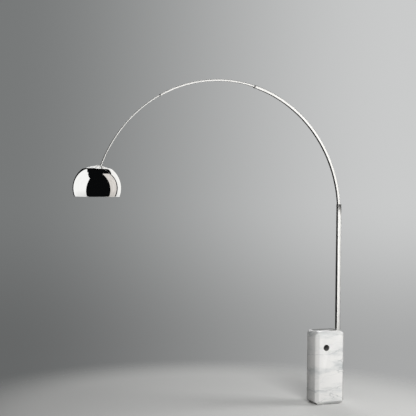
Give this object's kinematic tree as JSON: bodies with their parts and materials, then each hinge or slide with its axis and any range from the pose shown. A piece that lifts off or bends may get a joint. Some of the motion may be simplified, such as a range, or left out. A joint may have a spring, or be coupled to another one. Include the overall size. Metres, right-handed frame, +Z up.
{
  "type": "arc floor lamp",
  "caption": "Floor lamp whose telescoping steel arc rises from a column in a heavy stone block and holds a polished dome shade out over a table.",
  "frame": {"origin": "centre of the underside of the base, on the floor", "axes": "+Z up; +X from the shade towards the column, in the plane of the arc; +Y to the side that carries the lock screws"},
  "size_m": [2.078, 0.332, 2.4],
  "materials": {
    "stone": "honed and polished white marble, faint grey veins",
    "felt": "dark pressed felt",
    "steel": "satin stainless steel",
    "dome": "spun and polished",
    "cap": "spun and polished",
    "fastener": "turned stainless steel",
    "bracket": "plated steel",
    "nylon": "moulded, matte",
    "lead": "soft sheath",
    "holder": "moulded, matte",
    "ceramic": "glazed",
    "brass": "pressed brass",
    "bulb_glass": "clear",
    "bulb_metal": "pressed",
    "bulb_black": "black glass insulator"
  },
  "bodies": {
    "stand": {"stone_base": "stone", "base_felt": "felt", "stone_anchors": "fastener", "column": "steel", "column_foot_plate": "bracket", "column_bolts": "fastener", "column_washers": "fastener", "column_access_plugs": "nylon", "cable_grommet": "nylon", "column_mouth_guide": "nylon", "column_foot_guide": "nylon", "lower_arc": "steel", "lower_arc_guide": "nylon", "lower_lead": "lead"},
    "middle_section": {"middle_arc": "steel", "middle_arc_glide": "nylon", "middle_arc_guide": "nylon", "middle_lead": "lead"},
    "tip_section": {"tip_arc": "steel", "tip_arc_glide": "nylon", "tip_lead": "lead", "tip_plug": "bracket", "head_bracket": "bracket", "bracket_nut": "fastener", "cap_spacer": "fastener", "shade_cap": "cap", "cap_nut": "fastener", "holder_nipple": "brass", "holder_nut": "fastener", "holder_cover": "holder", "holder_barrel": "holder", "holder_ring": "holder", "holder_core": "ceramic", "holder_thread": "brass", "holder_contact": "brass"},
    "seat_ring": {"shade_seat": "felt"},
    "shade": {"reflector": "dome", "reflector_neck": "cap"},
    "bulb": {"bulb_glass": "bulb_glass", "bulb_cap": "bulb_metal", "bulb_insulator": "bulb_black", "bulb_contact": "bulb_metal", "bulb_stem": "bulb_glass", "bulb_filament": "bulb_metal"},
    "column_lock": {"column_lock_screw": "fastener"},
    "middle_lock": {"middle_lock_screw": "fastener"},
    "tip_lock": {"tip_lock_screw": "fastener"}
  },
  "joints": [
    {"name": "middle_arc_slide", "type": "hinge", "parent": "stand", "child": "middle_section", "pos_m": [-0.86, 0, 1.43], "axis": [0, 1, 0], "range_deg": [0, 18]},
    {"name": "tip_arc_slide", "type": "hinge", "parent": "middle_section", "child": "tip_section", "pos_m": [-0.86, 0, 1.43], "axis": [0, 1, 0], "range_deg": [0, 15]},
    {"name": "shade_swivel", "type": "hinge", "parent": "tip_section", "child": "seat_ring", "pos_m": [-1.792, 0, 1.594], "axis": [0, 0, 1], "continuous": true},
    {"name": "shade_tilt", "type": "hinge", "parent": "seat_ring", "child": "shade", "pos_m": [-1.792, 0, 1.594], "axis": [0, 1, 0], "range_deg": [-6, 6]},
    {"name": "bulb_turn", "type": "hinge", "parent": "tip_section", "child": "bulb", "pos_m": [-1.792, 0, 1.66], "axis": [0, 0, 1], "continuous": true},
    {"name": "column_lock_turn", "type": "hinge", "parent": "stand", "child": "column_lock", "pos_m": [0.1025, 0.015, 1.478], "axis": [0, 1, 0], "range_deg": [0, 360]},
    {"name": "middle_lock_turn", "type": "hinge", "parent": "stand", "child": "middle_lock", "pos_m": [-0.58356, 0.012, 2.35142], "axis": [0, 1, 0], "range_deg": [0, 360]},
    {"name": "tip_lock_turn", "type": "hinge", "parent": "middle_section", "child": "tip_lock", "pos_m": [-1.31678, 0.009, 2.27834], "axis": [0, 1, 0], "range_deg": [0, 360]}
  ]
}
